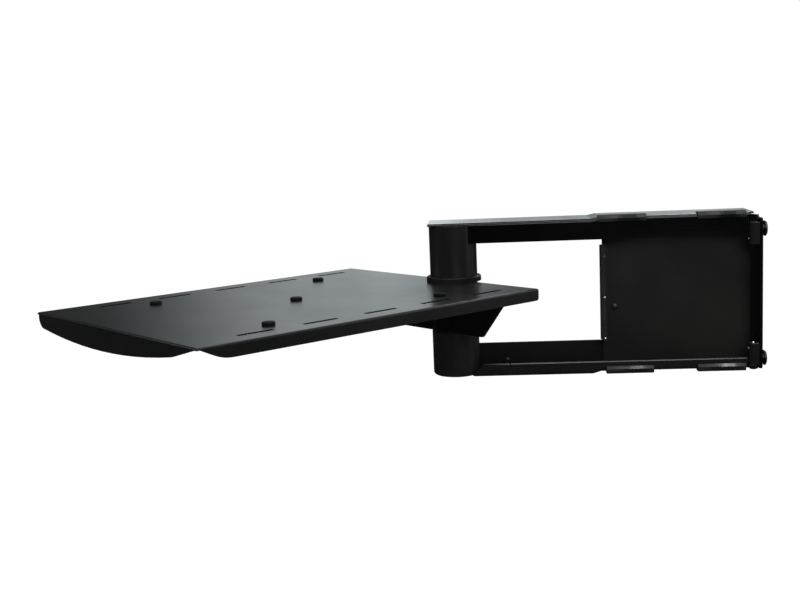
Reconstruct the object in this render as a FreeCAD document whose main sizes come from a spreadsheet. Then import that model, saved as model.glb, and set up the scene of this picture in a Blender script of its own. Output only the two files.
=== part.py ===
import FreeCAD, Part
import math
import os
import re

import Sketcher

# A wall-track laptop arm: track plate, hinge knuckles, folded rail arm, swivel post and a
# folded sheet tray that turns between the two rails.
# Frame: the origin is the centre of the track plate's back face, +X points into the wall,
# +Z is up, and the arm reaches out along -X.

os.makedirs("parts", exist_ok=True)
doc = FreeCAD.newDocument("laptop_arm")

# Driving dimensions in millimetres and degrees
DIMENSIONS = {
    # track plate and its studs
    "plate_width": 50,
    "plate_height": 157,
    "plate_sheet": 3,
    "plate_corner": 4,
    "stud_span": 135,
    "stud_neck_radius": 4,
    "stud_neck_length": 2.2,
    "stud_head_radius": 8,
    "stud_head_length": 2.8,
    "stud_side": 19,
    "stud_end_radius": 2.6,
    "stud_end_length": 2.2,
    # hinge between plate and arm
    "hinge_out": 8.2,
    "hinge_side": 19,
    "hinge_end": 74.2,
    "knuckle_radius": 4.9,
    "knuckle_height": 22.7,
    "pivot_radius": 2.2,
    "pivot_head_radius": 4,
    "pivot_head_height": 1.2,
    "pivot_length": 28,
    "washer_height": 0.8,
    "lug_sheet": 2.8,
    "lug_length": 24,
    "running_gap": 0.05,
    "seat_gap": 0.3,
    "grub_radius": 1.6,
    # arm rails
    "reach": 317.4,
    "upper_top": 83,
    "upper_rear": 38,
    "upper_joggle": 1.6,
    "lower_bottom": 80.8,
    "rail_sheet": 2.5,
    "rail_bend": 3.5,
    "rail_front": 19,
    "rail_rear": 12,
    "joggle": 2.5,
    "joggle_out": 165,
    "joggle_run": 8,
    "upper_lip_drop": 21.5,
    "upper_lip_wall_drop": 16.3,
    "upper_lip_end_drop": 19.8,
    "lip_taper_run": 55,
    "lower_lip_top": 67.4,
    "lower_wall_top": 49.7,
    "lip_foot_in": 16,
    "lip_head_in": 30,
    "lip_end": 14,
    "lip_bevel": 0.8,
    "cover_past": 0.6,
    "rail_end": 7.4,
    "seam_in": 57,
    "seam_width": 0.8,
    "rail_screw_in": 54,
    "rail_screw_drop": 70,
    "rail_screw_radius": 2,
    # cover panel between the rails
    "panel_out": 160.3,
    "panel_end": 6.2,
    "panel_sheet": 2.5,
    "panel_return": 14,
    "return_top": 56,
    "return_bottom": 47,
    "guard_left": 3.3,
    "guard_front": 3.2,
    "guard_leg": 6,
    "guard_round": 1.4,
    "guard_top": 54,
    "guard_bottom": 46,
    "guard_screw_radius": 0.9,
    "guard_screw_length": 8,
    "guard_screw_pitch": 44,
    "guard_screw_middle": -2,
    "plug_in": 12.8,
    "plug_drop": 14,
    "plug_radius": 2.5,
    # clips over the rails' folded edges
    "clip_length": 49,
    "clip_face": 2.4,
    "clip_crown": 1.8,
    "clip_slope": 3.2,
    "clip_grip": 12,
    "upper_clip_leg": 4.6,
    "lower_clip_leg": 5.5,
    "lower_clip_crown": 2.4,
    "inner_clip_out": 15.9,
    "upper_clip_past": 0.9,
    "lower_clip_short": 5.6,
    # post
    "post_bottom": 80,
    "post_radius": 25,
    "post_sheet": 3,
    "upper_tube_foot": 26.5,
    "lower_tube_head": 32,
    "cap_height": 4,
    "cap_spigot": 8,
    "lower_cap_round": 3.6,
    "core_inset": 2,
    "core_height": 20,
    "shaft_radius": 10,
    "shaft_head_radius": 15,
    "shaft_head_height": 6,
    "shaft_nut_flats": 30,
    "shaft_nut_height": 8,
    "shaft_end_past": 2,
    "collar_radius": 29,
    "collar_bevel": 0.8,
    "lower_collar_radius": 24,
    # tray
    "tray_level": 21,
    "tray_angle": 44.5,
    "tray_length": 390,
    "tray_width": 303,
    "tray_sheet": 2,
    "tray_bend": 1.8,
    "tray_past_post": 5.5,
    "tray_near": 117.6,
    "flange_depth": 12,
    "flange_cut": 33,
    "flange_round": 38,
    "flange_corner": 3,
    "end_flange_near_depth": 12,
    "end_flange_cut": 41,
    "end_flange_far_depth": 15,
    "end_flange_far_cut": 11,
    "end_flange_edge_depth": 6,
    "end_flange_arc": 880,
    "corner_relief": 3,
    "slot_length": 36.5,
    "slot_width": 6,
    "slot_pitch": 67.7,
    "slot_first": 53,
    "slot_inset": 24,
    "bumper_pitch": 200,
    "bumper_along": 199,
    "bumper_across": 146,
    "bumper_radius": 6,
    "bumper_height": 3,
    "bumper_bevel": 0.6,
    "bumper_peg_radius": 2,
    # tray bracket and hub
    "bracket_foot": 31.6,
    "bracket_forward": 14,
    "bracket_sheet": 4,
    "bracket_foot_width": 185,
    "bracket_head_width": 272,
    "bracket_plate_length": 150,
    "bracket_plate_width": 190,
    "bracket_stud_radius": 3,
    "bracket_stud_along": 100,
    "bracket_stud_across": 150,
    "bracket_nut_flats": 10,
    "bracket_nut_height": 5,
    "bracket_stud_past": 1.5,
    "hub_radius": 25,
    "hub_drop": 30.6,
    "bush_radius": 13,
    "bush_length": 20,
}
SLOTS_PER_SIDE = 5
ROUND_STEPS = 5

sheet = doc.addObject("Spreadsheet::Sheet", "Dims")
for row, (alias, value) in enumerate(DIMENSIONS.items(), start=1):
    sheet.set("A%d" % row, alias)
    sheet.set("B%d" % row, str(value))
    sheet.setAlias("B%d" % row, alias)
doc.recompute()


def bound(text):
    """The same expression with the sheet's name in front of every alias."""
    return re.sub(r"[a-z][a-z_]*[a-z]", lambda m: "Dims." + m[0] if m[0] in DIMENSIONS else m[0], str(text))


def size(text):
    """The present value of an expression, in millimetres."""
    return float(sheet.evalExpression(bound(text)))


def bind(thing, prop, text):
    thing.setExpression(prop, bound(text))


def place(thing, x="0", y="0", z="0", turn=None):
    """Bind a placement to expressions; turn is an angle about the vertical."""
    bind(thing, "Placement.Base.x", x)
    bind(thing, "Placement.Base.y", y)
    bind(thing, "Placement.Base.z", z)
    if turn is not None:
        thing.Placement.Rotation = FreeCAD.Rotation(FreeCAD.Vector(0, 0, 1), size(turn))
        thing.setExpression("Placement.Rotation.Angle", "(%s) * 1 deg" % bound(turn))


def new_body(label, **where):
    body = doc.addObject("PartDesign::Body", label)
    body.Label = label
    place(body, **where)
    return body


def plane(body, role):
    return next(f for f in body.Origin.OriginFeatures if f.Role == role)


def new_sketch(body, name, role, shift="0"):
    """A sketch on one of the body's origin planes, moved along that plane's normal."""
    sketch = body.newObject("Sketcher::SketchObject", body.Label + "_" + name)
    sketch.AttachmentSupport = [(plane(body, role), "")]
    sketch.MapMode = "FlatFace"
    bind(sketch, "AttachmentOffset.Base.z", shift)
    return sketch


def pin_point(sketch, edge, end, x, y):
    """Hold one end of a sketch edge at a place given by two expressions."""
    for kind, text in (("DistanceX", x), ("DistanceY", y)):
        index = sketch.addConstraint(Sketcher.Constraint(kind, -1, 1, edge, end, size(text)))
        bind(sketch, "Constraints[%d]" % index, text)


def outline(sketch, points, arcs=()):
    """A closed outline, given anticlockwise as expressions; arcs maps an edge's number to its radius."""
    arcs = dict(arcs)
    spots = [FreeCAD.Vector(size(x), size(y), 0) for x, y in points]
    first = sketch.GeometryCount
    count = len(points)
    for i in range(count):
        begin, end = spots[i], spots[(i + 1) % count]
        if i in arcs:
            radius = size(arcs[i])
            across = end - begin
            inward = FreeCAD.Vector(-across.y, across.x, 0).normalize()
            centre = (begin + end) / 2 + inward * math.sqrt(radius ** 2 - across.Length ** 2 / 4)
            circle = Part.Circle(centre, FreeCAD.Vector(0, 0, 1), radius)
            angles = [math.atan2(p.y - centre.y, p.x - centre.x) for p in (begin, end)]
            sketch.addGeometry(Part.ArcOfCircle(circle, angles[0], angles[1]), False)
        else:
            sketch.addGeometry(Part.LineSegment(begin, end), False)
    for i in range(count):
        sketch.addConstraint(Sketcher.Constraint("Coincident", first + i, 2, first + (i + 1) % count, 1))
        pin_point(sketch, first + i, 1, *points[i])
        if i in arcs:
            index = sketch.addConstraint(Sketcher.Constraint("Radius", first + i, size(arcs[i])))
            bind(sketch, "Constraints[%d]" % index, arcs[i])


def box_outline(sketch, x0, y0, x1, y1):
    outline(sketch, [(x0, y0), (x1, y0), (x1, y1), (x0, y1)])


def ring(sketch, x, y, radius):
    centre = FreeCAD.Vector(size(x), size(y), 0)
    edge = sketch.addGeometry(Part.Circle(centre, FreeCAD.Vector(0, 0, 1), size(radius)), False)
    pin_point(sketch, edge, 3, x, y)
    index = sketch.addConstraint(Sketcher.Constraint("Radius", edge, size(radius)))
    bind(sketch, "Constraints[%d]" % index, radius)


def hexagon(sketch, x, y, flats):
    """A hexagon of the given width across flats."""
    corners = []
    for i in range(6):
        angle = math.radians(60 * i)
        reach = "(%s) / %.6f" % (flats, math.sqrt(3))
        across = "%s + %s * %.6f" % (x, reach, math.cos(angle))
        up = "%s + %s * %.6f" % (y, reach, math.sin(angle))
        corners.append((across, up))
    outline(sketch, corners)


def pad(sketch, length, reverse=False):
    body = sketch.getParentGeoFeatureGroup()
    feature = body.newObject("PartDesign::Pad", sketch.Name + "_pad")
    feature.Profile = sketch
    feature.Reversed = reverse
    bind(feature, "Length", length)
    sketch.Visibility = False
    doc.recompute()
    return feature


def pocket(sketch, length, reverse=False):
    """Cut a profile out of its body, and check that it did cut."""
    body = sketch.getParentGeoFeatureGroup()
    before = body.Shape.Volume
    feature = body.newObject("PartDesign::Pocket", sketch.Name + "_pocket")
    feature.Profile = sketch
    feature.Reversed = reverse
    bind(feature, "Length", length)
    doc.recompute()
    if body.Shape.Volume > before - 1e-6:
        raise RuntimeError(sketch.Name + " cuts nothing")
    return feature


def turned(sketch, axis):
    """Revolve a profile a full turn about one of its sketch axes, V_Axis or H_Axis."""
    body = sketch.getParentGeoFeatureGroup()
    feature = body.newObject("PartDesign::Revolution", sketch.Name + "_turn")
    feature.Profile = sketch
    feature.ReferenceAxis = (sketch, [axis])
    feature.Angle = 360
    doc.recompute()
    return feature


def dress(body, kind, amount, chosen):
    """Fillet or chamfer the edges of a body that pass a test on their two ends and middle."""
    base = body.Tip
    names = []
    for i, edge in enumerate(base.Shape.Edges, start=1):
        middle = edge.valueAt((edge.FirstParameter + edge.LastParameter) / 2)
        if chosen(edge, middle):
            names.append("Edge%d" % i)
    if not names:
        raise RuntimeError(body.Label + " has no edge to round")
    feature = body.newObject("PartDesign::" + kind, body.Label + "_" + kind.lower() + "_%d" % len(body.Group))
    feature.Base = (base, names)
    bind(feature, "Radius" if kind == "Fillet" else "Size", amount)
    doc.recompute()
    if "Invalid" in feature.State:
        raise RuntimeError("%s cannot be rounded on %s" % (body.Label, names))
    return feature


def along(edge, direction):
    """True for a straight edge that runs along the given direction."""
    if edge.Curve.TypeId != "Part::GeomLine":
        return False
    ends = edge.Vertexes[-1].Point - edge.Vertexes[0].Point
    return abs(ends.normalize() * direction) > 0.999


def near(value, text):
    return abs(value - size(text)) < 0.01


X_WAY = FreeCAD.Vector(1, 0, 0)
Y_WAY = FreeCAD.Vector(0, 1, 0)
Z_WAY = FreeCAD.Vector(0, 0, 1)
SIDES = (("upper", 1), ("lower", -1))


# Track plate
def track_plate():
    body = new_body("track_plate")
    face = new_sketch(body, "face", "YZ_Plane", "-plate_sheet")
    box_outline(face, "-plate_width / 2", "-plate_height / 2", "plate_width / 2", "plate_height / 2")
    pad(face, "plate_sheet")
    holes = new_sketch(body, "stud_holes", "YZ_Plane")
    for name, sign in SIDES:
        ring(holes, "-stud_side", "%d * stud_span / 2" % sign, "stud_neck_radius + running_gap")
    pocket(holes, "plate_sheet")
    dress(body, "Fillet", "plate_corner", lambda edge, mid: along(edge, X_WAY))
    dress(body, "Chamfer", "plate_sheet / 6", lambda edge, mid: near(mid.x, "-plate_sheet") and near(
        abs(mid.y), "plate_width / 2"))


def track_stud(name, sign):
    """A mushroom stud for the wall track: domed head, neck, and an end that holds the knuckle."""
    body = new_body(name + "_track_stud", y="-stud_side", z="%d * stud_span / 2" % sign)
    half = new_sketch(body, "half", "XZ_Plane")
    back = "-plate_sheet - stud_end_length"
    tip = "stud_neck_length + stud_head_length"
    outline(half, [
        (back, "0"), (tip, "0"), (tip, "stud_head_radius * 0.5"),
        ("stud_neck_length + stud_head_length * 0.8", "stud_head_radius * 0.8"),
        ("stud_neck_length + stud_head_length * 0.4", "stud_head_radius"),
        ("stud_neck_length", "stud_head_radius"),
        ("stud_neck_length", "stud_neck_radius"), ("-plate_sheet", "stud_neck_radius"),
        ("-plate_sheet", "stud_end_radius"), (back, "stud_end_radius")])
    turned(half, "H_Axis")


def nut(spot, way, flats, height, hole):
    """One hexagon nut that stands on a spot and rises along a direction."""
    corners = []
    reach = size(flats) / math.sqrt(3)
    for i in range(7):
        angle = math.radians(60 * i + 30)
        corners.append(FreeCAD.Vector(reach * math.cos(angle), reach * math.sin(angle), 0))
    prism = Part.Face(Part.makePolygon(corners)).extrude(FreeCAD.Vector(0, 0, size(height)))
    bore = Part.makeCylinder(size(hole + " + running_gap"), size(height))
    solid = prism.cut(bore)
    solid.Placement = FreeCAD.Placement(spot, FreeCAD.Rotation(Z_WAY, way))
    return solid


def group(solids, label, placement=None):
    """Several like solids that share one node."""
    feature = doc.addObject("Part::Feature", label)
    feature.Label = label
    feature.Shape = Part.makeCompound(solids)
    feature.Placement = placement or FreeCAD.Placement()
    return feature


# Hinge
def knuckle(name, sign):
    """A round barrel on a flat foot that the track stud's end holds against the plate."""
    body = new_body(name + "_knuckle", x="-hinge_out", y="-hinge_side",
                    z="hinge_end - knuckle_height" if sign > 0 else "-hinge_end")
    foot = new_sketch(body, "foot", "XY_Plane")
    box_outline(foot, "0", "-knuckle_radius", "hinge_out - plate_sheet", "knuckle_radius")
    pad(foot, "knuckle_height")
    barrel = new_sketch(body, "barrel", "XY_Plane")
    ring(barrel, "0", "0", "knuckle_radius")
    pad(barrel, "knuckle_height")
    bore = new_sketch(body, "bore", "XY_Plane", "knuckle_height")
    ring(bore, "0", "0", "pivot_radius + running_gap")
    pocket(bore, "knuckle_height")
    seat = new_sketch(body, "stud_seat", "YZ_Plane", "hinge_out - plate_sheet")
    level = "stud_span / 2 - hinge_end + knuckle_height" if sign > 0 else "hinge_end - stud_span / 2"
    ring(seat, "hinge_side - stud_side", level, "stud_end_radius + running_gap")
    pocket(seat, "stud_end_length + running_gap")
    grub = new_sketch(body, "grub_hole", "YZ_Plane", "-knuckle_radius")
    ring(grub, "0", "knuckle_height / 2 - %d * knuckle_height * 0.25" % sign, "grub_radius + running_gap")
    pocket(grub, "knuckle_radius - pivot_radius", reverse=True)
    dress(body, "Chamfer", "knuckle_radius / 12", lambda edge, mid: (
        edge.Curve.TypeId == "Part::GeomCircle" and near(edge.Curve.Radius, "knuckle_radius")))


def grub_screws():
    """A small screw in the outer side of each knuckle, its round end standing a little proud."""
    solids = []
    radius = size("grub_radius")
    depth = size("knuckle_radius - pivot_radius - 0.6")
    for name, sign in SIDES:
        level = sign * size("hinge_end - knuckle_height * 0.75")
        spot = FreeCAD.Vector(-size("hinge_out + pivot_radius + 0.4"), -size("hinge_side"), level)
        rod = Part.makeCylinder(radius, depth, spot, -X_WAY)
        dome = Part.makeCone(radius, radius * 0.5, radius * 0.8, spot - X_WAY * depth, -X_WAY)
        solids.append(rod.fuse(dome).removeSplitter())
    group(solids, "grub_screws")


def lug_levels(sign):
    """How far the inner and outer faces of a rail's hinge lug lie above or below the origin."""
    if sign > 0:
        return "upper_top + upper_joggle - rail_sheet - lug_sheet", "upper_top + upper_joggle - rail_sheet"
    return "lower_bottom - joggle - rail_sheet", "lower_bottom - joggle"


def pivot(name, sign):
    """A shouldered pivot bolt through the arm's flange into the knuckle."""
    body = new_body(name + "_pivot", x="-hinge_out", y="-hinge_side",
                    z="%d * (%s)" % (sign, lug_levels(sign)[1]))
    half = new_sketch(body, "half", "XZ_Plane")
    up = "%d * " % sign
    points = [
        ("0", up + "-pivot_length"), ("pivot_radius - 0.5", up + "-pivot_length"),
        ("pivot_radius", up + "(0.5 - pivot_length)"), ("pivot_radius", "0"), ("pivot_head_radius", "0"),
        ("pivot_head_radius", up + "pivot_head_height * 0.4"),
        ("pivot_head_radius * 0.7", up + "pivot_head_height * 0.85"), ("0", up + "pivot_head_height")]
    outline(half, points if sign > 0 else points[::-1])
    turned(half, "V_Axis")


def hinge_spacer(name, sign):
    """The tube between the arm's flange and the washer on the knuckle."""
    body = new_body(name + "_spacer", x="-hinge_out", y="-hinge_side")
    start = "hinge_end + running_gap + washer_height"
    foot = new_sketch(body, "ring", "XY_Plane", "%d * (%s)" % (sign, start))
    ring(foot, "0", "0", "knuckle_radius")
    ring(foot, "0", "0", "pivot_radius + seat_gap")
    pad(foot, "%s - (%s)" % (lug_levels(sign)[0], start), reverse=sign < 0)


def hinge_washers():
    solids = []
    for name, sign in SIDES:
        spot = FreeCAD.Vector(-size("hinge_out"), -size("hinge_side"), sign * size("hinge_end + running_gap"))
        outer = Part.makeCylinder(size("knuckle_radius"), size("washer_height"), spot, Z_WAY * sign)
        inner = Part.makeCylinder(size("pivot_radius + seat_gap"), size("washer_height"), spot, Z_WAY * sign)
        solids.append(outer.cut(inner))
    group(solids, "hinge_washers")


# Arm rails
def rail_ends(body, sign):
    """The lug at the hinge with the bolt's hole, and the fish-mouth end against the post."""
    inner, outer = lug_levels(sign)
    lug = new_sketch(body, "lug", "XY_Plane", "%d * (%s)" % (sign, inner))
    outline(lug, [
        ("-hinge_out - lug_length", "rail_sheet - rail_front"), ("-lip_end", "rail_sheet - rail_front"),
        ("-hinge_out", "-hinge_side - knuckle_radius"), ("-hinge_out", "knuckle_radius - hinge_side"),
        ("-hinge_out", "0"), ("-hinge_out - lug_length", "0")], {2: "knuckle_radius"})
    pad(lug, "%s - (%s)" % (outer, inner), reverse=sign < 0)
    if sign > 0:
        recess = new_sketch(body, "head_recess", "XY_Plane", outer)
        ring(recess, "-hinge_out", "-hinge_side", "pivot_head_radius + seat_gap")
        pocket(recess, "rail_sheet + 1", reverse=True)
    hole = new_sketch(body, "pivot_hole", "XY_Plane", "%d * (%s)" % (sign, inner))
    ring(hole, "-hinge_out", "-hinge_side", "pivot_radius + seat_gap")
    pocket(hole, "%s - (%s)" % (outer, inner), reverse=sign > 0)
    mouth = new_sketch(body, "mouth", "XY_Plane")
    ring(mouth, "-reach", "0", "post_radius + seat_gap")
    pocket(mouth, "upper_top - rail_sheet" if sign > 0 else "lower_bottom + 5", reverse=sign > 0)


def upper_rail():
    """The top rail: a deep channel that opens downward; its top sheet runs on over the post."""
    body = new_body("upper_rail")
    left = "(-reach - post_radius - cover_past)"
    side = new_sketch(body, "side", "XZ_Plane", "rail_front")
    outline(side, [
        (left, "upper_top - upper_lip_drop"), ("-panel_out", "upper_top - upper_lip_drop"),
        ("-panel_out + lip_taper_run", "upper_top + upper_joggle - upper_lip_wall_drop"),
        ("-rail_end", "upper_top + upper_joggle - upper_lip_end_drop"),
        ("-rail_end", "upper_top + upper_joggle"),
        ("-joggle_out", "upper_top + upper_joggle"), ("-joggle_out - joggle_run", "upper_top"),
        (left, "upper_top")])
    pad(side, "rail_front + upper_rear", reverse=True)
    inside = new_sketch(body, "inside", "XZ_Plane", "rail_front - rail_sheet")
    outline(inside, [
        (left, "0"), ("-rail_end", "0"), ("-rail_end", "upper_top + upper_joggle - rail_sheet"),
        ("-joggle_out", "upper_top + upper_joggle - rail_sheet"),
        ("-joggle_out - joggle_run", "upper_top - rail_sheet"), (left, "upper_top - rail_sheet")])
    pocket(inside, "rail_front + upper_rear - 2 * rail_sheet")
    dress(body, "Fillet", "rail_bend", lambda edge, mid: (
        mid.z > size("upper_top") - 0.01 and (near(mid.y, "-rail_front") or near(mid.y, "upper_rear"))))
    past = new_sketch(body, "lip_past_post", "XZ_Plane", "rail_front")
    box_outline(past, left, "0", "-reach", "upper_top - rail_sheet")
    pocket(past, "rail_sheet")
    end = new_sketch(body, "lip_end", "XZ_Plane", "rail_front")
    box_outline(end, "-lip_end", "0", "-rail_end", "upper_top + upper_joggle - rail_sheet")
    pocket(end, "rail_sheet")
    rail_ends(body, 1)


def lower_rail():
    """The bottom rail: a channel that opens upward, its rear wall higher than its front lip."""
    body = new_body("lower_rail")
    side = new_sketch(body, "side", "XZ_Plane", "rail_front")
    outline(side, [
        ("-reach", "-lower_bottom"), ("-joggle_out - joggle_run", "-lower_bottom"),
        ("-joggle_out", "-lower_bottom + joggle"), ("-rail_end", "-lower_bottom + joggle"),
        ("-rail_end", "-lower_wall_top"), ("-reach", "-lower_wall_top")])
    pad(side, "rail_front + rail_rear", reverse=True)
    inside = new_sketch(body, "inside", "XZ_Plane", "rail_front - rail_sheet")
    outline(inside, [
        ("-reach", "-lower_bottom + rail_sheet"),
        ("-joggle_out - joggle_run", "-lower_bottom + rail_sheet"),
        ("-joggle_out", "-lower_bottom + joggle + rail_sheet"),
        ("-rail_end", "-lower_bottom + joggle + rail_sheet"),
        ("-rail_end", "0"), ("-reach", "0")])
    pocket(inside, "rail_front + rail_rear - 2 * rail_sheet")
    dress(body, "Fillet", "rail_bend", lambda edge, mid: (
        mid.z < size("joggle - lower_bottom") + 0.01
        and (near(mid.y, "-rail_front") or near(mid.y, "rail_rear"))))
    lip = new_sketch(body, "lip_top", "XZ_Plane", "rail_front")
    outline(lip, [
        ("-reach", "rail_sheet - lower_bottom"), ("lip_foot_in - reach", "rail_sheet - lower_bottom"),
        ("lip_head_in - reach", "-lower_lip_top"), ("-rail_end", "-lower_lip_top"),
        ("-rail_end", "0"), ("-reach", "0")])
    pocket(lip, "rail_sheet")
    dress(body, "Chamfer", "lip_bevel", lambda edge, mid: (
        near(mid.z, "-lower_lip_top") and near(mid.y, "-rail_front") and along(edge, X_WAY)))
    end = new_sketch(body, "lip_end", "XZ_Plane", "rail_front")
    box_outline(end, "-lip_end", "joggle + rail_sheet - lower_bottom", "-rail_end", "0")
    pocket(end, "rail_sheet")
    seam = new_sketch(body, "seam", "XZ_Plane", "rail_front")
    box_outline(seam, "seam_in - reach", "rail_bend - lower_bottom", "seam_in + seam_width - reach", "0")
    pocket(seam, "rail_sheet")
    screw = new_sketch(body, "screw_hole", "XZ_Plane", "-rail_rear")
    ring(screw, "rail_screw_in - reach", "-rail_screw_drop", "rail_screw_radius + running_gap")
    pocket(screw, "rail_sheet", reverse=True)
    rail_ends(body, -1)


def rail_screw():
    """A pan-head screw on the lower rail's rear wall, its head just above the front lip's line."""
    body = new_body("rail_screw", x="rail_screw_in - reach", y="rail_rear - rail_sheet", z="-rail_screw_drop")
    half = new_sketch(body, "half", "XY_Plane")
    outline(half, [
        ("0", "-2.4"), ("rail_screw_radius * 1.2", "-2.4"), ("rail_screw_radius * 1.9", "-1.6"),
        ("rail_screw_radius * 2", "0"), ("rail_screw_radius", "0"), ("rail_screw_radius", "rail_sheet + 2"),
        ("0", "rail_sheet + 2")])
    turned(half, "V_Axis")


# Cover panel
def web_panel():
    """The sheet between the rails at the wall end, folded forward along its left edge."""
    body = new_body("web_panel", x="-panel_out", y="rail_rear - rail_sheet - seat_gap")
    face = new_sketch(body, "face", "XZ_Plane", "panel_sheet")
    box_outline(face, "0", "joggle + rail_sheet + seat_gap - lower_bottom", "panel_out - panel_end",
                "upper_top + upper_joggle - rail_sheet - seat_gap")
    pad(face, "panel_sheet", reverse=True)
    fold = new_sketch(body, "fold", "YZ_Plane")
    box_outline(fold, "-panel_return", "-return_bottom", "0", "return_top")
    pad(fold, "panel_sheet")
    holes = new_sketch(body, "guard_holes", "XZ_Plane", "panel_return")
    for step in (-1, 0, 1):
        ring(holes, "panel_sheet / 2", "guard_screw_middle + %d * guard_screw_pitch" % step,
             "guard_screw_radius + running_gap")
    pocket(holes, "guard_screw_length - guard_front + 0.5")
    plug = new_sketch(body, "plug_hole", "XZ_Plane", "panel_sheet")
    ring(plug, "plug_in", "-plug_drop", "plug_radius + running_gap")
    pocket(plug, "panel_sheet")
    dress(body, "Fillet", "panel_sheet * 0.8", lambda edge, mid: (
        along(edge, Z_WAY) and near(mid.x, "0") and near(mid.y, "0") and abs(mid.z) < size("return_bottom")))


def edge_guard():
    """A rubber strip that covers the front and the outer side of the panel's folded edge."""
    body = new_body("edge_guard", x="-panel_out", y="rail_rear - rail_sheet - seat_gap - panel_return",
                    z="-guard_bottom")
    cross = new_sketch(body, "cross", "XY_Plane")
    outline(cross, [
        ("-guard_left", "-guard_front"), ("panel_sheet", "-guard_front"), ("panel_sheet", "0"), ("0", "0"),
        ("0", "guard_leg"), ("-guard_left", "guard_leg")])
    pad(cross, "guard_bottom + guard_top")
    holes = new_sketch(body, "screw_holes", "XZ_Plane", "guard_front")
    for step in (-1, 0, 1):
        ring(holes, "panel_sheet / 2", "guard_bottom + guard_screw_middle + %d * guard_screw_pitch" % step,
             "guard_screw_radius + running_gap")
    pocket(holes, "guard_front + 0.5")
    dress(body, "Fillet", "guard_round", lambda edge, mid: (
        along(edge, Z_WAY) and near(mid.x, "-guard_left")))


def guard_screws():
    """Three small round-head screws through the strip into the panel's edge."""
    solids = []
    shank = size("guard_screw_radius")
    front = size("rail_rear - rail_sheet - seat_gap - panel_return - guard_front")
    for step in (-1, 0, 1):
        spot = FreeCAD.Vector(size("panel_sheet / 2 - panel_out"), front,
                              size("guard_screw_middle + %d * guard_screw_pitch" % step))
        head = Part.makeCone(shank * 2.1, shank * 1.2, shank, spot, -Y_WAY)
        rod = Part.makeCylinder(shank, size("guard_screw_length"), spot, Y_WAY)
        solids.append(head.fuse(rod).removeSplitter())
    group(solids, "guard_screws")


def panel_plug():
    """A small domed plug in the panel's face."""
    body = new_body("panel_plug", x="plug_in - panel_out",
                    y="rail_rear - rail_sheet - seat_gap - panel_sheet",
                    z="-plug_drop")
    half = new_sketch(body, "half", "XY_Plane")
    outline(half, [
        ("0", "-1.6"), ("plug_radius * 0.7", "-1.3"), ("plug_radius * 1.4", "-0.6"),
        ("plug_radius * 1.4", "0"),
        ("plug_radius", "0"), ("plug_radius", "panel_sheet"), ("0", "panel_sheet")])
    turned(half, "V_Axis")


def clip(name, sign, start):
    """A moulded clip seated on the outer corner of a rail's fold."""
    level = "upper_top + upper_joggle" if sign > 0 else "joggle - lower_bottom"
    body = new_body(name, x="-(%s)" % start, y="-rail_front", z=level)
    cross = new_sketch(body, "cross", "YZ_Plane", "-clip_length")
    if sign > 0:
        points = [
            ("0", "0"), ("clip_grip", "0"), ("clip_grip", "clip_crown / 2"),
            ("clip_grip * 0.8", "clip_crown"),
            ("1", "clip_crown"), ("-clip_face / 6", "clip_crown * 0.85"),
            ("-clip_face", "clip_crown - clip_slope"),
            ("-clip_face", "-upper_clip_leg"), ("0", "-upper_clip_leg")]
    else:
        points = [
            ("0", "0"), ("0", "lower_clip_leg"), ("-clip_face / 6", "lower_clip_leg"),
            ("-clip_face", "lower_clip_leg - clip_slope * 0.9"), ("-clip_face", "-lower_clip_crown / 3"),
            ("-clip_face / 6", "-lower_clip_crown"), ("clip_grip * 0.8", "-lower_clip_crown"),
            ("clip_grip", "-lower_clip_crown / 2"), ("clip_grip", "0")]
    outline(cross, points)
    pad(cross, "clip_length")


# Post
def tube(name, sign):
    """A half of the post; the upper one ends under the top sheet of its rail."""
    body = new_body(name + "_tube", x="-reach")
    start = "upper_tube_foot" if sign > 0 else "lower_tube_head"
    end = "upper_top - rail_sheet" if sign > 0 else "post_bottom - cap_height"
    foot = new_sketch(body, "ring", "XY_Plane", "%d * (%s)" % (sign, start))
    ring(foot, "0", "0", "post_radius")
    ring(foot, "0", "0", "post_radius - post_sheet")
    pad(foot, "%s - %s" % (end, start), reverse=sign < 0)


def lower_tube_cap():
    """A plug-in end cap with a rounded rim, level with the tube's outside."""
    body = new_body("lower_tube_cap", x="-reach", z="-post_bottom")
    half = new_sketch(body, "half", "XZ_Plane")
    rim = []
    for step in range(ROUND_STEPS + 1):
        turn = math.radians(90 * step / ROUND_STEPS)
        across = "post_radius - lower_cap_round * %.4f" % (1 - math.sin(turn))
        rim.append((across, "lower_cap_round * %.4f" % (1 - math.cos(turn))))
    spigot = "post_radius - post_sheet - seat_gap"
    outline(half, [
        ("0", "0"), *rim, ("post_radius", "cap_height"), (spigot, "cap_height"),
        (spigot, "cap_height + cap_spigot"), ("0", "cap_height + cap_spigot")])
    turned(half, "V_Axis")


def tube_core(name, sign):
    """A turned plug inside a tube that holds the swivel shaft."""
    body = new_body(name + "_tube_core", x="-reach")
    start = "upper_tube_foot" if sign > 0 else "lower_tube_head"
    foot = new_sketch(body, "ring", "XY_Plane", "%d * (%s + core_inset)" % (sign, start))
    ring(foot, "0", "0", "post_radius - post_sheet - seat_gap")
    ring(foot, "0", "0", "shaft_radius + running_gap")
    pad(foot, "core_height", reverse=sign < 0)


def swivel_shaft():
    """The shaft that ties the two tubes together through the tray's hub."""
    body = new_body("swivel_shaft", x="-reach")
    foot = "-lower_tube_head - core_inset - core_height"
    head = "upper_tube_foot + core_inset + core_height + shaft_nut_height + shaft_end_past"
    half = new_sketch(body, "half", "XZ_Plane")
    outline(half, [
        ("0", foot + " - shaft_head_height"), ("shaft_head_radius", foot + " - shaft_head_height"),
        ("shaft_head_radius", foot), ("shaft_radius", foot), ("shaft_radius", head + " - 1"),
        ("shaft_radius - 1", head), ("0", head)])
    turned(half, "V_Axis")


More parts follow.
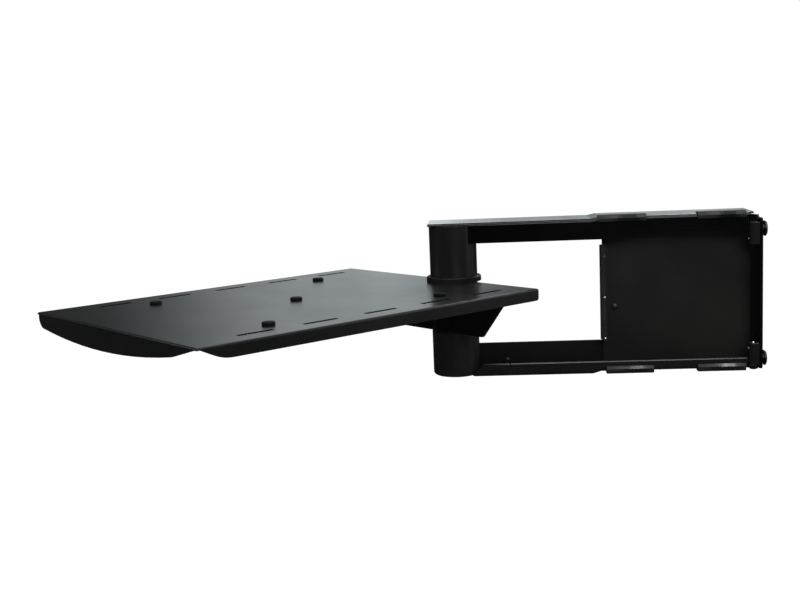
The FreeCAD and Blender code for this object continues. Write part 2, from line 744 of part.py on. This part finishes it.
def shaft_nut():
    body = new_body("shaft_nut", x="-reach")
    face = new_sketch(body, "hexagon", "XY_Plane", "upper_tube_foot + core_inset + core_height")
    hexagon(face, "0", "0", "shaft_nut_flats")
    ring(face, "0", "0", "shaft_radius + running_gap")
    pad(face, "shaft_nut_height")


def collars():
    """The wide collar above the tray and the thin thrust ring under its hub."""
    upper = new_body("collar", x="-reach", z="tray_level + running_gap")
    face = new_sketch(upper, "ring", "XY_Plane")
    ring(face, "0", "0", "collar_radius")
    ring(face, "0", "0", "shaft_radius + seat_gap")
    pad(face, "upper_tube_foot - tray_level - 2 * running_gap")
    dress(upper, "Chamfer", "collar_bevel", lambda edge, mid: (
        edge.Curve.TypeId == "Part::GeomCircle" and near(edge.Curve.Radius, "collar_radius") and mid.z > 1))
    lower = new_body("thrust_ring", x="-reach", z="running_gap - lower_tube_head")
    face = new_sketch(lower, "ring", "XY_Plane")
    ring(face, "0", "0", "lower_collar_radius")
    ring(face, "0", "0", "shaft_radius + seat_gap")
    pad(face, "lower_tube_head - hub_drop - 2 * running_gap")


# Tray, in a frame whose origin is the post's axis and whose X runs along the tray
MIDDLE = "(tray_width / 2 - tray_near)"
FOLD = "tray_level - tray_bend"
BRACKET_LEVEL = "(tray_level - tray_sheet - bracket_sheet)"
STUD_SPOTS = [(a, b) for a in (0, 1) for b in (-0.5, 0.5)]


def tray_body(label):
    return new_body(label, x="-reach", turn="tray_angle")


def stud_spot(a, b):
    x = "-(bracket_plate_length - bracket_stud_along) / 2 - %d * bracket_stud_along" % a
    return x, "%s + %g * bracket_stud_across" % (MIDDLE, b)


def long_flange(body, name, shift, reverse):
    """A flange along one of the tray's long edges, tapered to nothing at its left end."""
    left = "(tray_past_post - tray_length)"
    sketch = new_sketch(body, name, "XZ_Plane", shift)
    outline(sketch, [
        (left + " + corner_relief", FOLD), (left + " + flange_cut / 2", "tray_level - flange_depth * 0.68"),
        (left + " + flange_cut", "tray_level - flange_depth"),
        ("tray_past_post - flange_corner", "tray_level - flange_depth"),
        ("tray_past_post", "tray_level - flange_depth + flange_corner"), ("tray_past_post", FOLD)],
        {1: "flange_round", 3: "flange_corner"})
    pad(sketch, "tray_sheet", reverse=reverse)


def tray_pan():
    """The laptop tray: one sheet with all four edges folded down."""
    body = tray_body("tray_pan")
    sheet_face = new_sketch(body, "plate", "XY_Plane", "tray_level - tray_sheet")
    box_outline(sheet_face, "tray_past_post - tray_length", "-tray_near",
                "tray_past_post", "tray_width - tray_near")
    pad(sheet_face, "tray_sheet")
    dress(body, "Fillet", "tray_bend", lambda edge, mid: near(mid.z, "tray_level"))
    long_flange(body, "near_flange", "tray_near", True)
    long_flange(body, "far_flange", "tray_near - tray_width", False)
    end = new_sketch(body, "end_flange", "YZ_Plane", "tray_past_post - tray_length")
    outline(end, [
        ("corner_relief - tray_near", FOLD),
        ("end_flange_cut - tray_near", "tray_level - end_flange_near_depth"),
        ("tray_width - tray_near - end_flange_far_cut", "tray_level - end_flange_far_depth"),
        ("tray_width - tray_near - corner_relief", "tray_level - end_flange_edge_depth"),
        ("tray_width - tray_near - corner_relief", FOLD)],
        {1: "end_flange_arc", 2: "end_flange_far_cut"})
    pad(end, "tray_sheet")
    back = new_sketch(body, "post_flange", "YZ_Plane", "tray_past_post")
    clear = "hub_radius + 2 * corner_relief"
    for first, last in (("corner_relief - tray_near", "-(%s)" % clear),
                        (clear, "tray_width - tray_near - corner_relief")):
        box_outline(back, first, "tray_level - flange_depth", last, FOLD)
    pad(back, "tray_sheet", reverse=True)
    notch = new_sketch(body, "hub_notch", "XY_Plane", "tray_level")
    ring(notch, "0", "0", "hub_radius + seat_gap")
    pocket(notch, "tray_sheet")
    slots = new_sketch(body, "slots", "XY_Plane", "tray_level")
    begin = "tray_past_post - tray_length + slot_first"
    for y in ("slot_inset - tray_near", "tray_width - tray_near - slot_inset"):
        box_outline(slots, begin, y + " - slot_width / 2", begin + " + slot_length", y + " + slot_width / 2")
    first_slots = pocket(slots, "tray_sheet")
    row = body.newObject("PartDesign::LinearPattern", "tray_slot_row")
    row.Originals = [first_slots]
    row.Direction = (slots, ["H_Axis"])
    row.Occurrences = SLOTS_PER_SIDE
    bind(row, "Length", "%d * slot_pitch" % (SLOTS_PER_SIDE - 1))
    body.Tip = row
    doc.recompute()
    pegs = new_sketch(body, "peg_holes", "XY_Plane", "tray_level")
    for name, x, y in BUMPERS:
        ring(pegs, bumper_x(x), bumper_y(y), "bumper_peg_radius + running_gap")
    pocket(pegs, "tray_sheet")
    studs = new_sketch(body, "studs", "XY_Plane", "tray_level - tray_sheet")
    for a, b in STUD_SPOTS:
        ring(studs, *stud_spot(a, b), "bracket_stud_radius")
    pad(studs, "bracket_sheet + bracket_nut_height + bracket_stud_past", reverse=True)


BUMPERS = (
    ("bumper_middle", 0, 0), ("bumper_left_near", -1, -1), ("bumper_right_near", 1, -1),
    ("bumper_right_far", 1, 1), ("bumper_left_far", -1, 1))


def bumper_x(step):
    return "tray_past_post - tray_length + bumper_along + %g * bumper_pitch" % (step / 2)


def bumper_y(step):
    return "bumper_across - tray_near + %g * bumper_pitch" % (step / 2)


def bumper(name, x, y):
    """A round rubber bumper with a peg in the tray."""
    body = tray_body(name)
    face = new_sketch(body, "face", "XY_Plane", "tray_level")
    ring(face, bumper_x(x), bumper_y(y), "bumper_radius")
    pad(face, "bumper_height")
    peg = new_sketch(body, "peg", "XY_Plane", "tray_level")
    ring(peg, bumper_x(x), bumper_y(y), "bumper_peg_radius")
    pad(peg, "tray_sheet", reverse=True)
    dress(body, "Chamfer", "bumper_bevel", lambda edge, mid: near(mid.z, "tray_level + bumper_height"))


def tray_bracket():
    """The plate under the tray with the tapered end plate against the hub's near side."""
    body = tray_body("tray_bracket")
    under = new_sketch(body, "plate", "XY_Plane", BRACKET_LEVEL)
    box_outline(under, "-bracket_plate_length", MIDDLE + " - bracket_plate_width / 2", "-bracket_forward",
                MIDDLE + " + bracket_plate_width / 2")
    pad(under, "bracket_sheet")
    end = new_sketch(body, "end_plate", "YZ_Plane", "-bracket_forward - bracket_sheet")
    outline(end, [
        (MIDDLE + " - bracket_head_width / 2", "tray_level - tray_sheet"),
        (MIDDLE + " - bracket_foot_width / 2", "-bracket_foot"),
        (MIDDLE + " + bracket_foot_width / 2", "-bracket_foot"),
        (MIDDLE + " + bracket_head_width / 2", "tray_level - tray_sheet")])
    pad(end, "bracket_sheet")
    seat = new_sketch(body, "hub_seat", "XY_Plane", "tray_level")
    ring(seat, "0", "0", "hub_radius + seat_gap")
    pocket(seat, "tray_level + bracket_foot + 5")
    holes = new_sketch(body, "stud_holes", "XY_Plane", "tray_level - tray_sheet")
    for a, b in STUD_SPOTS:
        ring(holes, *stud_spot(a, b), "bracket_stud_radius + running_gap")
    pocket(holes, "bracket_sheet")


def bracket_nuts():
    """The nuts that hold the bracket on the tray's welded studs."""
    nuts = []
    for a, b in STUD_SPOTS:
        x, y = stud_spot(a, b)
        spot = FreeCAD.Vector(size(x), size(y), size(BRACKET_LEVEL))
        nuts.append(nut(spot, -Z_WAY, "bracket_nut_flats", "bracket_nut_height", "bracket_stud_radius"))
    turn = FreeCAD.Rotation(Z_WAY, size("tray_angle"))
    group(nuts, "bracket_nuts", FreeCAD.Placement(FreeCAD.Vector(-size("reach"), 0, 0), turn))


def hub():
    body = tray_body("hub")
    face = new_sketch(body, "ring", "XY_Plane", "-hub_drop")
    ring(face, "0", "0", "hub_radius")
    ring(face, "0", "0", "bush_radius + running_gap")
    pad(face, "hub_drop + tray_level")


def hub_bush(name, sign):
    body = tray_body(name + "_bush")
    face = new_sketch(body, "ring", "XY_Plane", "tray_level" if sign > 0 else "-hub_drop")
    ring(face, "0", "0", "bush_radius")
    ring(face, "0", "0", "shaft_radius + running_gap")
    pad(face, "bush_length", reverse=sign > 0)


track_plate()
for name, sign in SIDES:
    track_stud(name, sign)
    knuckle(name, sign)
    pivot(name, sign)
    hinge_spacer(name, sign)
    tube(name, sign)
    tube_core(name, sign)
    hub_bush(name, sign)
grub_screws()
hinge_washers()
upper_rail()
lower_rail()
rail_screw()
web_panel()
edge_guard()
guard_screws()
panel_plug()
clip("upper_inner_clip", 1, "inner_clip_out")
clip("upper_outer_clip", 1, "joggle_out + upper_clip_past - clip_length")
clip("lower_inner_clip", -1, "inner_clip_out")
clip("lower_outer_clip", -1, "joggle_out - lower_clip_short - clip_length")
swivel_shaft()
lower_tube_cap()
shaft_nut()
collars()
tray_pan()
for name, x, y in BUMPERS:
    bumper(name, x, y)
tray_bracket()
bracket_nuts()
hub()
doc.recompute()

# Every object must be sound before anything is written
for item in doc.Objects:
    if "Invalid" in item.State or "Error" in item.State:
        raise RuntimeError("%s did not compute" % item.Label)
pieces = [item for item in doc.Objects if item.TypeId in ("PartDesign::Body", "Part::Feature")]
for piece in pieces:
    if piece.Shape.isNull() or not piece.Shape.isValid() or not piece.Shape.Solids:
        raise RuntimeError("%s has no sound shape" % piece.Label)
for piece in pieces:
    piece.Shape.exportStep("parts/%s.step" % piece.Label)
print(len(pieces), "pieces written")
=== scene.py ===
import bpy
import math
from mathutils import Matrix, Vector

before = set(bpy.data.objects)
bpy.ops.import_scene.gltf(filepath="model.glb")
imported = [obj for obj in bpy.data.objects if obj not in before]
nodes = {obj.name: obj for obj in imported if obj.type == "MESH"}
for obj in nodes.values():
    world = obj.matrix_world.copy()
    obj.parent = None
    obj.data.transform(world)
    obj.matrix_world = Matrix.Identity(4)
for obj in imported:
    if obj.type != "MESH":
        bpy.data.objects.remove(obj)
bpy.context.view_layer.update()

scene = bpy.context.scene
scene.view_settings.view_transform = "Standard"

# Camera at the photograph's place: angles in degrees, place in metres, lens and sensor in millimetres
CAMERA_YAW = -4.623
CAMERA_PITCH = -8.577
CAMERA_ROLL = -2.407
CAMERA_PLACE = (-0.2756, -1.2426, 0.1895)
CAMERA_LENS = 52.85
CAMERA_SENSOR = 36
CAMERA_NEAREST = 0.01


def set_camera():
    yaw, pitch, roll = (math.radians(angle) for angle in (CAMERA_YAW, CAMERA_PITCH, CAMERA_ROLL))
    flat = math.cos(pitch)
    forward = Vector((math.sin(yaw) * flat, math.cos(yaw) * flat, math.sin(pitch)))
    right = forward.cross(Vector((0, 0, 1))).normalized()
    up = right.cross(forward)
    side = right * math.cos(roll) + up * math.sin(roll)
    top = up * math.cos(roll) - right * math.sin(roll)
    turn = Matrix((side, top, -forward)).transposed().to_4x4()
    turn.translation = Vector(CAMERA_PLACE)
    data = bpy.data.cameras.new("Camera")
    data.sensor_width = CAMERA_SENSOR
    data.lens = CAMERA_LENS
    data.clip_start = CAMERA_NEAREST
    camera = bpy.data.objects.new("Camera", data)
    camera.matrix_world = turn
    scene.collection.objects.link(camera)
    scene.camera = camera


set_camera()

# Surface grain: noise scale, detail and sharpness, bump strength, and bump height in metres
CLOUD_SCALE, CLOUD_DETAIL = 14, 3
PEEL_SCALE, PEEL_DETAIL, PEEL_BUMP, PEEL_HEIGHT = 900, 2, 0.12, 0.00012
TRAY_PEEL_SCALE, TRAY_PEEL_BUMP = 1100, 0.08
FLECK_SCALE, FLECK_DETAIL = 60, 5
SKIN_SCALE, SKIN_DETAIL, SKIN_BUMP, SKIN_HEIGHT = 1500, 3, 0.1, 0.0001
MARK_SCALE, MARK_DETAIL, MARK_SHARPNESS, MARK_BUMP, MARK_HEIGHT = 240, 4, 0.6, 0.15, 0.0001
PLAIN_SHARPNESS = 0.55

# The band of noise that a colour ramp runs over, and the band that a number runs over
RAMP_BAND = (0.35, 0.65)
NOISE_BAND = (0.3, 0.7)

# Reflection level of plain plastic and paint
PLAIN_SPECULAR = 0.5

# Clips: roughness of the middle, the ends and the tops, and how far it wanders
CLIP_MIDDLE_ROUGH = 0.15
CLIP_END_ROUGH = 0.6
CLIP_TOP_ROUGH = 0.95
CLIP_WEAR = 0.03
# Shares of a clip's length over which its ends turn glossy and dull again
CLIP_OUTER_BAND = (0.1, 0.55)
CLIP_INNER_BAND = (0.75, 1.0)
# Upward part of the surface normal over which a face counts as a top
CLIP_TOP_BAND = (0.9, 0.97)
# Width of a clip's rounded edges, in metres, and the number of steps round them
CLIP_EDGE = 0.0009
CLIP_EDGE_STEPS = 3


def new_material(name):
    material = bpy.data.materials.new(name)
    material.use_nodes = True
    tree = material.node_tree
    shader = tree.nodes["Principled BSDF"]
    return material, tree, shader


def noise(tree, scale, detail, sharpness=PLAIN_SHARPNESS, stretch=None):
    """Object-space noise, so it stays on the piece."""
    where = tree.nodes.new("ShaderNodeTexCoord")
    texture = tree.nodes.new("ShaderNodeTexNoise")
    texture.inputs["Scale"].default_value = scale
    texture.inputs["Detail"].default_value = detail
    texture.inputs["Roughness"].default_value = sharpness
    source = where.outputs["Object"]
    if stretch:
        mapping = tree.nodes.new("ShaderNodeMapping")
        mapping.inputs["Scale"].default_value = stretch
        tree.links.new(source, mapping.inputs["Vector"])
        source = mapping.outputs["Vector"]
    tree.links.new(source, texture.inputs["Vector"])
    return texture.outputs["Fac"]


def ramp(tree, value, shades):
    """A colour ramp between two shades."""
    node = tree.nodes.new("ShaderNodeValToRGB")
    for stop, place, shade in zip(node.color_ramp.elements, RAMP_BAND, shades):
        stop.position = place
        stop.color = (*shade, 1)
    tree.links.new(value, node.inputs["Fac"])
    return node.outputs["Color"]


def spread(tree, value, ends, band=NOISE_BAND):
    """A number that runs from one end to the other as value runs over the band."""
    node = tree.nodes.new("ShaderNodeMapRange")
    node.inputs["From Min"].default_value = band[0]
    node.inputs["From Max"].default_value = band[1]
    node.inputs["To Min"].default_value = ends[0]
    node.inputs["To Max"].default_value = ends[1]
    tree.links.new(value, node.inputs["Value"])
    return node.outputs["Result"]


def math_node(tree, operation, *values):
    node = tree.nodes.new("ShaderNodeMath")
    node.operation = operation
    for i, value in enumerate(values):
        if isinstance(value, (int, float)):
            node.inputs[i].default_value = value
        else:
            tree.links.new(value, node.inputs[i])
    return node.outputs[0]


def axes_of(tree, vector):
    """The X, Y and Z parts of a vector."""
    node = tree.nodes.new("ShaderNodeSeparateXYZ")
    tree.links.new(vector, node.inputs[0])
    return node.outputs["X"], node.outputs["Y"], node.outputs["Z"]


def bump(tree, shader, height, strength, distance):
    node = tree.nodes.new("ShaderNodeBump")
    node.inputs["Strength"].default_value = strength
    node.inputs["Distance"].default_value = distance
    tree.links.new(height, node.inputs["Height"])
    tree.links.new(node.outputs["Normal"], shader.inputs["Normal"])


def powder_coat(name, shades, rough, specular=PLAIN_SPECULAR, peel_scale=PEEL_SCALE, peel_bump=PEEL_BUMP):
    """Satin powder coat: fine orange peel, faint cloudiness, roughness that wanders a little."""
    material, tree, shader = new_material(name)
    cloud = noise(tree, CLOUD_SCALE, CLOUD_DETAIL)
    tree.links.new(ramp(tree, cloud, shades), shader.inputs["Base Color"])
    tree.links.new(spread(tree, cloud, rough), shader.inputs["Roughness"])
    peel = noise(tree, peel_scale, PEEL_DETAIL)
    bump(tree, shader, peel, peel_bump, PEEL_HEIGHT)
    shader.inputs["Specular IOR Level"].default_value = specular
    return material


def moulding(name, shades, rough, specular=PLAIN_SPECULAR):
    """Moulded plastic or rubber with a fine skin."""
    material, tree, shader = new_material(name)
    fleck = noise(tree, FLECK_SCALE, FLECK_DETAIL)
    tree.links.new(ramp(tree, fleck, shades), shader.inputs["Base Color"])
    tree.links.new(spread(tree, fleck, rough), shader.inputs["Roughness"])
    skin = noise(tree, SKIN_SCALE, SKIN_DETAIL)
    bump(tree, shader, skin, SKIN_BUMP, SKIN_HEIGHT)
    shader.inputs["Specular IOR Level"].default_value = specular
    return material


def clip_gloss(name, shades):
    """Glossy moulded plastic, duller toward its ends and on the faces that point straight up."""
    material, tree, shader = new_material(name)
    fleck = noise(tree, FLECK_SCALE, FLECK_DETAIL)
    tree.links.new(ramp(tree, fleck, shades), shader.inputs["Base Color"])
    surface = tree.nodes.new("ShaderNodeNewGeometry")
    upward = axes_of(tree, surface.outputs["True Normal"])[2]
    where = tree.nodes.new("ShaderNodeTexCoord")
    along = axes_of(tree, where.outputs["Generated"])[0]
    outer = spread(tree, along, (CLIP_END_ROUGH, CLIP_MIDDLE_ROUGH), CLIP_OUTER_BAND)
    inner = spread(tree, along, (CLIP_MIDDLE_ROUGH, CLIP_END_ROUGH), CLIP_INNER_BAND)
    top = spread(tree, upward, (0, CLIP_TOP_ROUGH), CLIP_TOP_BAND)
    dull = math_node(tree, "MAXIMUM", math_node(tree, "MAXIMUM", outer, inner), top)
    worn = spread(tree, fleck, (-CLIP_WEAR, CLIP_WEAR))
    tree.links.new(math_node(tree, "ADD", dull, worn), shader.inputs["Roughness"])
    shader.inputs["Specular IOR Level"].default_value = PLAIN_SPECULAR
    return material


def metal(name, shades, rough, stretch):
    """Turned or plated metal with fine tool marks."""
    material, tree, shader = new_material(name)
    marks = noise(tree, MARK_SCALE, MARK_DETAIL, MARK_SHARPNESS, stretch)
    tree.links.new(ramp(tree, marks, shades), shader.inputs["Base Color"])
    tree.links.new(spread(tree, marks, rough), shader.inputs["Roughness"])
    shader.inputs["Metallic"].default_value = 1.0
    bump(tree, shader, marks, MARK_BUMP, MARK_HEIGHT)
    return material


# Pairs of base colours that the finishes wander between
SATIN_SHADES = ((0.0060, 0.0060, 0.0060), (0.0085, 0.0085, 0.0082))
# Painted shade: this darkest pair is the satin black made darker to stand in for shade, on the pieces
# under the tray, the upper rail and the track plate
SHADE_PAINTED_BLACKS = ((0.0020, 0.0020, 0.0020), (0.0032, 0.0032, 0.0030))
PANEL_SHADES = ((0.0085, 0.0085, 0.0078), (0.0115, 0.0112, 0.0102))
TUBE_SHADES = ((0.0090, 0.0090, 0.0086), (0.0120, 0.0120, 0.0114))
CLIP_SHADES = ((0.005, 0.005, 0.005), (0.009, 0.009, 0.009))
RUBBER_SHADES = ((0.005, 0.005, 0.005), (0.010, 0.010, 0.010))
BUMPER_SHADES = ((0.004, 0.004, 0.004), (0.008, 0.008, 0.008))
COLLAR_SHADES = ((0.005, 0.005, 0.005), (0.009, 0.009, 0.009))
PLASTIC_SHADES = ((0.008, 0.008, 0.008), (0.012, 0.012, 0.012))
STEEL_SHADES = ((0.42, 0.42, 0.43), (0.60, 0.60, 0.61))
ZINC_SHADES = ((0.48, 0.48, 0.47), (0.68, 0.68, 0.66))
BRONZE_SHADES = ((0.35, 0.22, 0.08), (0.50, 0.34, 0.14))

# Finishes, each with its range of roughness and, for the metals, the stretch of the tool marks
COAT = powder_coat("satin_black_coat", SATIN_SHADES, (0.30, 0.36))
# Painted shade: a darker copy of the black coat for the bracket, hub and spacers, standing in for the
# shade under the tray
SHADE_PAINTED_COAT = powder_coat("shade_painted_black_coat", SHADE_PAINTED_BLACKS, (0.24, 0.29), specular=0.3)
# Painted shade: the upper rail takes the darker base colours for the shade on its front lip; its low
# roughness is the rail's own gloss
RAIL = powder_coat("rail_black_coat", SHADE_PAINTED_BLACKS, (0.13, 0.17), specular=0.3)
# Painted shade: the track plate takes the darker base colours for the shade beside the knuckle; its high
# roughness and low specular dim its reflections
PLATE = powder_coat("plate_black_coat", SHADE_PAINTED_BLACKS, (0.60, 0.70), specular=0.05)
TRAY = powder_coat("tray_black_coat", SATIN_SHADES, (0.27, 0.31),
                   peel_scale=TRAY_PEEL_SCALE, peel_bump=TRAY_PEEL_BUMP)
PANEL = powder_coat("panel_black_coat", PANEL_SHADES, (0.34, 0.42))
TUBE = powder_coat("tube_black_coat", TUBE_SHADES, (0.32, 0.38))
CLIP = clip_gloss("clip_gloss", CLIP_SHADES)
RUBBER = moulding("rubber_black", RUBBER_SHADES, (0.45, 0.6))
BUMPER = moulding("bumper_rubber", BUMPER_SHADES, (0.65, 0.75), specular=0.1)
COLLAR = moulding("collar_black", COLLAR_SHADES, (0.5, 0.6), specular=0.2)
PLASTIC = moulding("plastic_black", PLASTIC_SHADES, (0.34, 0.42))
STEEL = metal("turned_steel", STEEL_SHADES, (0.22, 0.34), (1, 1, 12))
ZINC = metal("zinc_plate", ZINC_SHADES, (0.18, 0.30), (1, 1, 1))
BRONZE = metal("sintered_bronze", BRONZE_SHADES, (0.35, 0.5), (1, 1, 1))

# Pieces by finish; the rest take the satin coat
FINISH = {
    TRAY: ("tray_pan",),
    PANEL: ("web_panel", "panel_plug"),
    RAIL: ("upper_rail",),
    PLATE: ("track_plate",),
    # Bracket, hub and spacers take the painted-shade coat for the shade that falls under the tray
    SHADE_PAINTED_COAT: ("tray_bracket", "hub", "upper_spacer", "lower_spacer"),
    TUBE: ("upper_tube", "lower_tube", "lower_tube_cap"),
    COLLAR: ("collar",),
    CLIP: ("upper_inner_clip", "upper_outer_clip", "lower_inner_clip", "lower_outer_clip"),
    RUBBER: ("edge_guard",),
    BUMPER: tuple(name for name in nodes if name.startswith("bumper")),
    PLASTIC: ("thrust_ring",),
    STEEL: ("swivel_shaft", "upper_tube_core", "lower_tube_core", "hinge_washers"),
    ZINC: ("shaft_nut", "bracket_nuts", "guard_screws", "grub_screws", "upper_pivot", "lower_pivot"),
    BRONZE: ("upper_bush", "lower_bush"),
}
finish_of = {name: material for material, names in FINISH.items() for name in names}
for name, obj in nodes.items():
    material = finish_of.get(name, COAT)
    if not obj.material_slots:
        obj.data.materials.append(material)
    for slot in obj.material_slots:
        slot.material = material
    if material is CLIP:
        edges = obj.modifiers.new("edges", "BEVEL")
        edges.width = CLIP_EDGE
        edges.segments = CLIP_EDGE_STEPS
        edges.limit_method = "ANGLE"

# Floor: size and place in metres, shade and roughness
FLOOR_SIZE = 14
FLOOR_PLACE = (-0.3, 2.0, -0.62)
FLOOR_SHADE = 0.86
FLOOR_ROUGH = 0.9
# What the camera sees of it is mostly a white glow; what reflections see is a dim one
FLOOR_GLOW = 1.15
FLOOR_GLOW_SHARE = 0.85
FLOOR_DIM_GLOW = 0.03

# Brightness of the studio's far side by its bearing from +Y toward +X, in degrees
FAR_SIDE = (
    (-40, 0), (-21, 0), (-18.5, 0.03), (-16, 0.18), (-13.5, 0.5),
    (-10, 0.85), (-4.5, 0.92), (-1.5, 0.34), (1, 0.06), (30, 0.03),
)
# The same for a bright strip that stands low on the far side
LOW_STRIP = ((-7, 0), (-4, 0.8), (11, 0.8), (14, 0))
# Bands of height, as the upward part of the view direction, over which each of them fades out
FAR_SIDE_FADE = (0.35, 0.8)
LOW_STRIP_FADE = (0.1, 0.115)
# The band round the horizon over which both of them start
HORIZON_BAND = (-0.02, 0.02)
# Level of the room all round, level of its ceiling, and the band of height where that comes in
ROOM_LEVEL = 0.03
CEILING_LEVEL = 0.4
CEILING_BAND = (0.5, 0.8)
ROOM_TINT = (0.90, 0.97, 1.0)


def mix_shaders(tree, share, first, second):
    node = tree.nodes.new("ShaderNodeMixShader")
    tree.links.new(share, node.inputs["Fac"])
    tree.links.new(first, node.inputs[1])
    tree.links.new(second, node.inputs[2])
    return node.outputs[0]


def set_floor():
    bpy.ops.mesh.primitive_plane_add(size=FLOOR_SIZE, location=FLOOR_PLACE)
    floor = bpy.context.object
    floor.name = "floor"
    material, tree, shader = new_material("floor_pale")
    shader.inputs["Base Color"].default_value = (FLOOR_SHADE, FLOOR_SHADE, FLOOR_SHADE, 1)
    shader.inputs["Roughness"].default_value = FLOOR_ROUGH
    path = tree.nodes.new("ShaderNodeLightPath")
    seen = math_node(tree, "MULTIPLY", path.outputs["Is Camera Ray"], FLOOR_GLOW_SHARE)
    surface = shader.outputs[0]
    for share, strength in ((seen, FLOOR_GLOW), (path.outputs["Is Glossy Ray"], FLOOR_DIM_GLOW)):
        glow = tree.nodes.new("ShaderNodeEmission")
        glow.inputs["Strength"].default_value = strength
        surface = mix_shaders(tree, share, surface, glow.outputs[0])
    tree.links.new(surface, tree.nodes["Material Output"].inputs["Surface"])
    floor.data.materials.append(material)


def by_bearing(tree, bearing, levels):
    """A brightness that follows the listed levels as the bearing turns."""
    node = tree.nodes.new("ShaderNodeValToRGB")
    first, last = levels[0][0], levels[-1][0]
    stops = node.color_ramp.elements
    for i, (angle, level) in enumerate(levels):
        place = (angle - first) / (last - first)
        stop = stops.new(place) if 0 < i < len(levels) - 1 else stops[0 if i == 0 else -1]
        stop.position = place
        stop.color = (level, level, level, 1)
    share = spread(tree, bearing, (0, 1), (math.radians(first), math.radians(last)))
    tree.links.new(share, node.inputs["Fac"])
    return node.outputs["Color"]


def set_world():
    """White for the camera; for the rest, a dim room with a bright far side, a low strip and a ceiling."""
    world = bpy.data.worlds.new("studio")
    scene.world = world
    world.use_nodes = True
    tree = world.node_tree
    room = tree.nodes["Background"]
    where = tree.nodes.new("ShaderNodeTexCoord")
    east, north, height = axes_of(tree, where.outputs["Generated"])
    bearing = math_node(tree, "ARCTAN2", east, north)
    above = spread(tree, height, (0, 1), HORIZON_BAND)
    bright = ROOM_LEVEL
    for levels, fade in ((FAR_SIDE, FAR_SIDE_FADE), (LOW_STRIP, LOW_STRIP_FADE)):
        side = by_bearing(tree, bearing, levels)
        high = spread(tree, height, (1, 0), fade)
        share = math_node(tree, "MULTIPLY", math_node(tree, "MULTIPLY", side, high), above)
        bright = math_node(tree, "ADD", share, bright)
    ceiling = spread(tree, height, (0, CEILING_LEVEL), CEILING_BAND)
    tree.links.new(math_node(tree, "ADD", ceiling, bright), room.inputs["Strength"])
    room.inputs["Color"].default_value = (*ROOM_TINT, 1)
    white = tree.nodes.new("ShaderNodeBackground")
    white.inputs["Color"].default_value = (1, 1, 1, 1)
    path = tree.nodes.new("ShaderNodeLightPath")
    surface = mix_shaders(tree, path.outputs["Is Camera Ray"], room.outputs[0], white.outputs[0])
    tree.links.new(surface, tree.nodes["World Output"].inputs["Surface"])


# Lamps: name, place, point aimed at, width and height, all in metres, and power in watts
LAMPS = (
    ("key", (-1.6, -1.6, 1.5), (-0.3, 0, 0), (1.2, 0.8), 7),
    ("front", (0.3, -2.0, 1.1), (-0.2, 0, 0), (1.3, 0.9), 14),
    ("side", (1.6, 0.1, 0.45), (-0.3, -0.1, 0), (1.5, 1.1), 5.8),
    ("back", (0.8, 1.8, 1.2), (-0.2, 0, 0), (1.4, 1.0), 30),
    ("left", (-2.4, -0.1, 1.0), (-0.3, 0, 0), (1.0, 1.0), 5),
    ("strip", (0.25, -1.1, 1.58), (-0.06, 0, -0.07), (0.36, 0.07), 1.4),
    ("top", (-0.2, -0.42, 1.8), (-0.2, 0, 0), (1.6, 0.3), 12),
)


def set_lamp(name, place, aim, size, power):
    data = bpy.data.lights.new(name, "AREA")
    data.shape = "RECTANGLE"
    data.size, data.size_y = size
    data.energy = power
    obj = bpy.data.objects.new(name, data)
    obj.location = place
    obj.rotation_euler = (Vector(aim) - Vector(place)).to_track_quat("-Z", "Y").to_euler()
    scene.collection.objects.link(obj)


set_floor()
set_world()
for values in LAMPS:
    set_lamp(*values)
